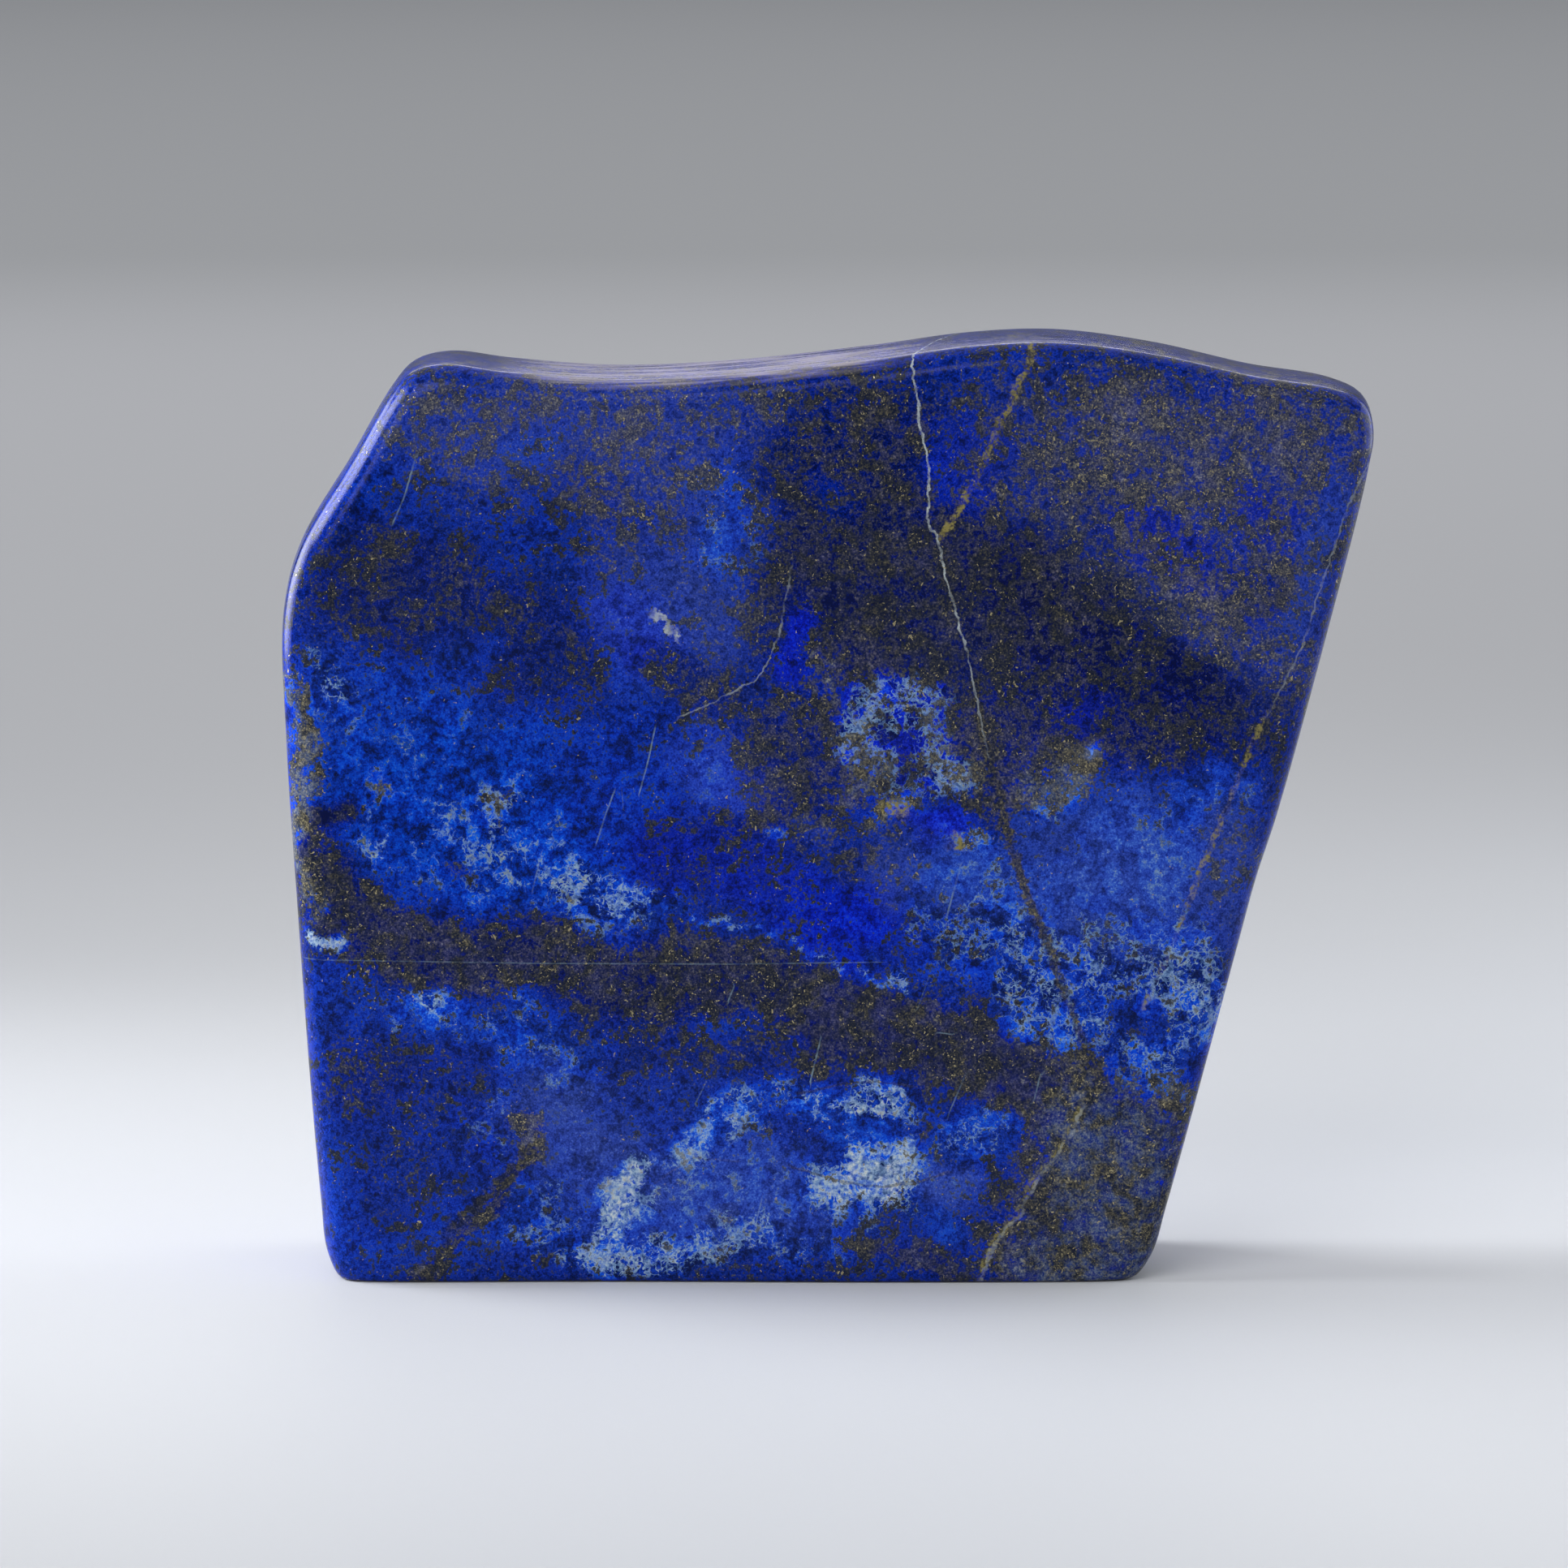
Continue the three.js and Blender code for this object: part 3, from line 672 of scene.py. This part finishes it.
# the front's zones give way to the back's across the rim
overRim = (-5.0, 9.0)
x, y, z = points.T
toBack = softStep(*overRim, y)
front = paintZones(x, z, frontZones, frontBands)
rear = paintZones(x, z, backZones, backBands)
fields = {key: front[key] + (rear[key] - front[key]) * toBack for key in ground}
for name, veins in {"pale": paleVeins, "ore": goldVeins, "ash": darkVeins, "hair": hairLines}.items():
    fields[name + "Gap"], fields[name + "Level"] = veinField(x, y, z, veins)
fields["hairLevel"] = fields["hairLevel"] * frontOnly(y)
fields.update(rimFields(points, rows))

# the saddle of the top rim, over its rounded edge: a smooth step up from its left and one down to its right.
# There the polish is worn rougher, and pale streaks painted in the colour stand for the top light's
# reflection
wearAndSheen = {"left": (-36, -24), "right": (-2, 14), "above": (88, 91), "turned": (0.55, 0.98)}
saddle = softStep(*wearAndSheen["left"], x) * (1 - softStep(*wearAndSheen["right"], x)) * softStep(*wearAndSheen["above"], z)
fields["wornAndSheen"] = saddle * softStep(*wearAndSheen["turned"], fields["turned"])
for name, values in fields.items():
    layer = mesh.attributes.new(name, "FLOAT", "POINT")
    layer.data.foreach_set("value", values.astype(np.float32))
print("stage: mineral zones and veins are laid out")


lapis = {
    # the blue, from the darkest to the palest, as screen colours
    "cobalt": [(0.0, (2, 12, 50)), (0.2, (0, 23, 88)), (0.38, (0, 36, 132)), (0.54, (0, 53, 164)),
               (0.7, (2, 74, 186)), (0.84, (42, 108, 200)), (1.0, (116, 158, 208))],
    "royal": [(0.0, (2, 6, 54)), (0.22, (0, 11, 106)), (0.42, (0, 18, 152)), (0.62, (2, 38, 190)),
              (0.82, (26, 76, 208)), (1.0, (90, 130, 214))],
    "violet": [(0.0, (22, 36, 108)), (0.35, (42, 58, 128)), (0.65, (62, 80, 146)), (1.0, (116, 136, 178))],
    "olive": [(0.0, (10, 16, 40)), (0.35, (28, 32, 42)), (0.6, (54, 53, 49)), (0.82, (82, 78, 64)),
              (1.0, (114, 107, 84))],
    "calcite": [(0.0, (66, 98, 148)), (0.4, (104, 132, 166)), (0.7, (148, 165, 178)),
                (1.0, (200, 201, 194))],
    "pyrite": (160, 150, 116),
    "paleLine": (156, 164, 166),
    "oreLine": (120, 112, 62),
    "hairLine": (110, 132, 146),
    # painted reflection: the pale pinkish colour of the saddle's streaks, standing for the top light's sheen
    "scuffAndSheen": (186, 178, 190),
    "roughness": 0.15,
    "specular": 0.08,
    "streakLength": 14.0,   # of the polishing lines along the rim, in mm
    "streakPitch": 0.8,     # how far apart they are
    "cobbleScale": 540.0,   # cells to the metre
    "cobbleNoise": 700.0,   # scale of the noise that shifts a cobble's wall
    "cobbleShift": 0.0022,  # how far it shifts it, in metres
    "grainRelief": 0.12,    # strength of the bump on the faces
    "streakRelief": 0.16,   # and on the rim
    "reliefDepth": 0.0001,
    # patterns from patches of several mm down to single grains: scale, detail, roughness and
    # distortion of the noise, and how much it is stretched
    "patterns": {
        "patches": (150.0, 3.0, 0.6, 0.0, 2.4),
        "clouds": (430.0, 5.0, 0.66, 0.3, 2.6),
        "mottle": (1000.0, 3.0, 0.65, 0.0, 2.4),
        "grains": (2600.0, 2.0, 0.6, 0.0, 2.2),
        "fine": (5200.0, 1.0, 0.5, 0.0, 2.0),
        "broken": (330.0, 4.0, 0.7, 0.0, 2.6),
    },
    # veins, from the lowest to the topmost: how far and how finely noise shakes the line, its
    # least and most cover along its length, and the noise levels between which it rises
    "veins": {
        "ash": (2.2, 900.0, 0.3, 0.95, 0.1, 0.6),
        "ore": (2.0, 800.0, 0.1, 0.95, 0.4, 0.66),
        "pale": (4.0, 850.0, 0.1, 0.95, 0.2, 0.75),
        "hair": (0.6, 1600.0, 0.15, 0.7, 0.2, 0.7),
    },
}


def screen(colour):
    # A screen colour (0 to 255) as linear light.
    shares = [c / 255 for c in colour]
    return tuple(c / 12.92 if c <= 0.04045 else ((c + 0.055) / 1.055) ** 2.4 for c in shares)


class Sheet:
    # A small helper that adds nodes to one material and links them.
    def __init__(self, material):
        self.tree = material.node_tree
        self.count = 0

    def add(self, kind, inputs=None, **settings):
        node = self.tree.nodes.new(kind)
        node.location = (200 * (self.count % 12) - 1800, 900 - 220 * (self.count // 12))
        self.count += 1
        for key, value in settings.items():
            setattr(node, key, value)
        for key, value in (inputs or {}).items():
            self.feed(node.inputs[key], value)
        return node

    def feed(self, socket, value):
        if isinstance(value, bpy.types.NodeSocket):
            self.tree.links.new(value, socket)
        else:
            socket.default_value = value

    def calc(self, operation, a, b=0.0, c=0.0, clamp=False):
        node = self.add("ShaderNodeMath", {0: a, 1: b, 2: c}, operation=operation, use_clamp=clamp)
        return node.outputs[0]

    def noise(self, place, scale, detail=2.0, roughness=0.5, distortion=0.0):
        settings = {"Vector": place, "Scale": scale, "Detail": detail, "Roughness": roughness,
                    "Distortion": distortion}
        return self.add("ShaderNodeTexNoise", settings, noise_dimensions="3D").outputs["Fac"]

    def wide(self, value, gain):
        # Stretches a noise about its middle, so that it fills the range from 0 to 1.
        return self.calc("MULTIPLY_ADD", value, gain, 0.5 - 0.5 * gain)

    def total(self, parts, start):
        # start plus each value times its weight
        result = start
        for value, weight in parts:
            result = self.calc("MULTIPLY_ADD", value, weight, result)
        return result

    def spread(self, value, low, high, outLow=0.0, outHigh=1.0):
        # A smooth step from one pair of values to another.
        limits = {"Value": value, "From Min": low, "From Max": high, "To Min": outLow, "To Max": outHigh}
        node = self.add("ShaderNodeMapRange", limits, interpolation_type="SMOOTHSTEP")
        return node.outputs["Result"]

    def blend(self, share, a, b):
        node = self.add("ShaderNodeMix", data_type="RGBA", blend_type="MIX", clamp_factor=True)
        self.feed(node.inputs[0], share)
        self.feed(node.inputs[6], a)
        self.feed(node.inputs[7], b)
        return node.outputs[2]

    def ramp(self, value, stops):
        node = self.add("ShaderNodeValToRGB", {"Fac": value})
        elements = node.color_ramp.elements
        while len(elements) < len(stops):
            elements.new(0.5)
        for element, (place, colour) in zip(elements, stops):
            element.position = place
            element.color = (*screen(colour), 1.0)
        return node.outputs["Color"]

    def field(self, name):
        return self.add("ShaderNodeAttribute", attribute_name=name, attribute_type="GEOMETRY").outputs["Fac"]


def cover(sheet, pattern, level, softness):
    # How much of the stone a mineral covers: its level, less a half, is added to a pattern that
    # spreads round a half, and a smooth step cuts the sum, so a level of 0.5 covers about half.
    total = sheet.calc("ADD", pattern, sheet.calc("SUBTRACT", level, 0.5))
    return sheet.spread(total, 0.5 - softness, 0.5 + softness)


def veinLine(sheet, name, wobble, place, wobbleScale):
    # A smooth step of the distance to the vein in half widths, 1 on it and 0 beside it, with
    # noise times the wobble added to the distance before the cut.
    shake = sheet.calc("MULTIPLY_ADD", sheet.noise(place, wobbleScale, 3.0, 0.6), 2 * wobble, -wobble)
    gap = sheet.calc("ABSOLUTE", sheet.calc("ADD", sheet.field(name + "Gap"), shake))
    line = sheet.spread(gap, 1.25, 0.55)
    return sheet.calc("MULTIPLY", line, sheet.field(name + "Level"), clamp=True)


def flecks(sheet, place, scale, density, size):
    # Pyrite flecks: the stone is cut into chance cells, and a cell has a fleck where its random
    # number is below the density. The fleck is round, out to a share of the cell.
    cells = sheet.add("ShaderNodeTexVoronoi", {"Vector": place, "Scale": scale}, feature="F1")
    parts = sheet.add("ShaderNodeSeparateColor", {"Color": cells.outputs["Color"]})
    present = sheet.calc("LESS_THAN", parts.outputs[0], density)
    radius = sheet.calc("MULTIPLY_ADD", parts.outputs[1], size * 0.6, size * 0.5)
    inside = sheet.calc("LESS_THAN", cells.outputs["Distance"], radius)
    return sheet.calc("MULTIPLY", present, inside)


def filaments(sheet, place, scale, level, detail, reach):
    # Thin branching lines: the places where a rough noise crosses its middle value. The level
    # times the reach is how far to either side of it they go.
    noise = sheet.noise(place, scale, detail, 0.6, 0.25)
    gap = sheet.calc("ABSOLUTE", sheet.calc("SUBTRACT", noise, 0.5))
    past = sheet.calc("MULTIPLY_ADD", level, -reach, gap)
    return sheet.spread(past, 0.009, -0.009)


def polishStreaks(sheet):
    # Lines that run along the rim: noise on the girth and on the length across the rim, drawn
    # out along the girth.
    along = 1.0 / lapis["streakLength"]
    place = sheet.add("ShaderNodeCombineXYZ", {
        "X": sheet.calc("MULTIPLY", sheet.field("loopA"), along),
        "Y": sheet.calc("MULTIPLY", sheet.field("loopB"), along),
        "Z": sheet.calc("MULTIPLY", sheet.field("across"), 1.0 / lapis["streakPitch"])})
    return sheet.wide(sheet.noise(place.outputs[0], 1.0, 3.0, 0.6), 2.2)


def makeLapis():
    material = bpy.data.materials.new("polishedLapis")
    material.use_nodes = True
    s = Sheet(material)
    shader = material.node_tree.nodes["Principled BSDF"]
    place = s.add("ShaderNodeTexCoord").outputs["Object"]
    dark, tone, haze, royal, calcite, gold = (s.field(key) for key in ground)

    # patterns that spread round a half
    patches, clouds, mottle, grains, fine, broken = (
        s.wide(s.noise(place, *settings), gain) for *settings, gain in lapis["patterns"].values())

    # cobbles about 2 mm across with ragged walls: each has a chance tone of its own
    shaken = s.add("ShaderNodeTexNoise", {"Vector": place, "Scale": lapis["cobbleNoise"], "Detail": 4.0},
                   noise_dimensions="3D").outputs["Color"]
    shift = s.add("ShaderNodeVectorMath", {0: shaken, 1: [lapis["cobbleShift"]] * 3}, operation="MULTIPLY")
    bent = s.add("ShaderNodeVectorMath", {0: place, 1: shift.outputs[0]}, operation="ADD").outputs[0]
    spacing = {"Vector": bent, "Scale": lapis["cobbleScale"]}
    cobbles = s.add("ShaderNodeTexVoronoi", spacing, feature="F1")
    chance = s.add("ShaderNodeSeparateColor", {"Color": cobbles.outputs["Color"]}).outputs[0]
    cells = s.add("ShaderNodeTexVoronoi", spacing, feature="DISTANCE_TO_EDGE")
    edge = s.total([(mottle, 0.1), (grains, 0.06)], s.calc("ADD", cells.outputs["Distance"], -0.08))

    # the blue itself: the tone of the zone, shaken by clouds, mottling, grains and the cobbles'
    # own tones, and purer where it shows through the matrix
    own = s.calc("MULTIPLY", s.calc("SUBTRACT", chance, 0.5), s.spread(calcite, 0.0, 0.4, 0.12, 0.55))
    lightness = s.total([(tone, 1.0), (own, 1.0), (dark, 0.22), (calcite, -0.24), (patches, 0.2),
                         (clouds, 0.44), (mottle, 0.48), (grains, 0.32), (fine, 0.18)], -0.87)
    turn = s.total([(royal, 1.0), (dark, 0.6), (own, 1.2)], 0.0)
    blue = s.blend(turn, s.ramp(lightness, lapis["cobalt"]), s.ramp(lightness, lapis["royal"]))

    # painted sheen: a violet wash, broken up by noise, laid over the blue to stand for soft reflected light
    veil = s.total([(patches, 0.3), (clouds, 0.3), (mottle, 0.3)], 0.2)
    veil = s.calc("MULTIPLY", haze, veil, clamp=True)
    greying = s.total([(clouds, 0.2), (mottle, 0.3), (grains, 0.4), (fine, 0.3)], -0.1)
    violet = s.ramp(greying, lapis["violet"])
    colour = s.blend(veil, blue, violet)

    # calcite: it gathers in splashes, and in each the walls of the cobbles and branching
    # filaments of two sizes grow wider towards the core, until they merge
    mass = s.total([(patches, 0.3), (clouds, 0.85), (mottle, 0.35), (calcite, 1.1)], -0.68)
    splash = s.calc("MULTIPLY", s.spread(mass, 0.12, 1.1), s.spread(calcite, 0.0, 0.12))
    walls = s.spread(s.calc("MULTIPLY_ADD", splash, -0.17, edge), 0.02, -0.05)
    branches = filaments(s, place, 400.0, splash, 3.0, 0.045)
    twigs = filaments(s, place, 900.0, splash, 2.0, 0.05)
    solid = s.spread(s.total([(clouds, 0.35), (grains, 0.15), (calcite, 1.0)], 0.0), 0.95, 1.25)
    lace = s.calc("MAXIMUM", s.calc("MAXIMUM", s.calc("MULTIPLY", walls, 0.8), solid),
                  s.calc("MAXIMUM", branches, s.calc("MULTIPLY", twigs, 0.85)))
    pale = s.calc("MULTIPLY", lace, s.spread(splash, 0.0, 0.25), clamp=True)
    chalk = s.total([(splash, 0.45), (mottle, 0.5), (grains, 0.6)], -0.36)
    thinned = s.calc("MULTIPLY", pale, s.spread(grains, 0.1, 0.7, 0.5, 1.0))
    colour = s.blend(thinned, colour, s.ramp(chalk, lapis["calcite"]))

    # olive grey matrix: a speckle with blue windows in it
    speckle = s.total([(patches, 0.4), (clouds, 0.85), (mottle, 0.95), (grains, 0.65)], -0.925)
    matrix = cover(s, speckle, dark, 0.17)
    matrix = s.calc("MULTIPLY", matrix, s.spread(clouds, 0.1, 0.8, 0.8, 1.0))
    matrix = s.calc("MULTIPLY", matrix, s.spread(dark, -0.04, 0.16))
    # painted sheen: where the violet sheen is painted, the olive is lighter and a little violet
    ash = s.total([(grains, 0.45), (fine, 0.4), (patches, 0.25), (mottle, 0.3), (tone, 0.35),
                   (haze, 0.18)], -0.42)
    filling = s.ramp(ash, lapis["olive"])
    olive = s.ramp(s.calc("ADD", ash, s.spread(dark, 0.0, 0.75, -0.34, 0.0)), lapis["olive"])
    olive = s.blend(s.calc("MULTIPLY", haze, 0.22), olive, violet)
    colour = s.blend(matrix, colour, olive)

    # veins, each broken up along its length
    rough = s.total([(broken, 0.6), (mottle, 0.4)], 0.0)
    for name, (wobble, scale, least, most, low, high) in lapis["veins"].items():
        line = veinLine(s, name, wobble, place, scale)
        share = s.calc("MULTIPLY", line, s.spread(rough, low, high, least, most))
        if name == "ore":
            share = s.calc("MULTIPLY", share, s.spread(grains, 0.25, 0.6, 0.3, 1.0))
        mineral = filling if name == "ash" else (*screen(lapis[name + "Line"]), 1.0)
        colour = s.blend(share, colour, mineral)
    hairLine = line

    # pyrite
    often = s.calc("MULTIPLY", gold, s.spread(matrix, 0.0, 1.0, 0.3, 1.0))
    often = s.calc("MULTIPLY", often, s.spread(clouds, 0.25, 0.95, 0.02, 0.36))
    fineFlecks = flecks(s, bent, 5200.0, often, 0.5)
    coarseFlecks = flecks(s, bent, 2700.0, s.calc("MULTIPLY", often, 0.2), 0.36)
    pyrite = s.calc("MAXIMUM", fineFlecks, coarseFlecks)
    colour = s.blend(s.calc("MULTIPLY", pyrite, 0.85), colour, (*screen(lapis["pyrite"]), 1.0))

    # polish: calcite and matrix take it a little less well than the blue. On the saddle of the rim the
    # polish is worn rougher in streaks, and a painted reflection lays those streaks pale in the colour
    streaks = polishStreaks(s)
    turned, wornAndSheen = s.field("turned"), s.field("wornAndSheen")
    scuffAndSheen = s.calc("MULTIPLY", wornAndSheen, s.spread(streaks, 0.2, 0.8, 0.12, 1.0))
    # painted reflection: pale streaks of the top light's sheen laid into the colour
    colour = s.blend(s.calc("MULTIPLY", scuffAndSheen, 0.52), colour, (*screen(lapis["scuffAndSheen"]), 1.0))
    s.feed(shader.inputs["Base Color"], colour)
    s.feed(shader.inputs["Metallic"], s.calc("MULTIPLY", pyrite, 0.5))
    s.feed(shader.inputs["Roughness"], s.total([(matrix, 0.07), (pale, 0.05), (clouds, 0.06), (scuffAndSheen, 0.25)],
                                               lapis["roughness"] - 0.03))
    shader.inputs["Specular IOR Level"].default_value = lapis["specular"]

    relief = s.total([(grains, 0.4), (matrix, -0.3), (hairLine, -0.8)], 0.0)
    relief = s.calc("MULTIPLY", relief, s.calc("SUBTRACT", 1.0, turned))
    bump = s.add("ShaderNodeBump", {"Strength": lapis["grainRelief"], "Distance": lapis["reliefDepth"],
                                    "Height": relief})
    lines = s.calc("MULTIPLY", streaks, turned)
    drawn = s.add("ShaderNodeBump", {"Strength": lapis["streakRelief"], "Distance": lapis["reliefDepth"],
                                     "Height": lines, "Normal": bump.outputs["Normal"]})
    s.feed(shader.inputs["Normal"], drawn.outputs["Normal"])
    return material


mesh.materials.append(makeLapis())
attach(stone, "root")
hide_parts("lapis_slab")
print("stage: polished stone finished")
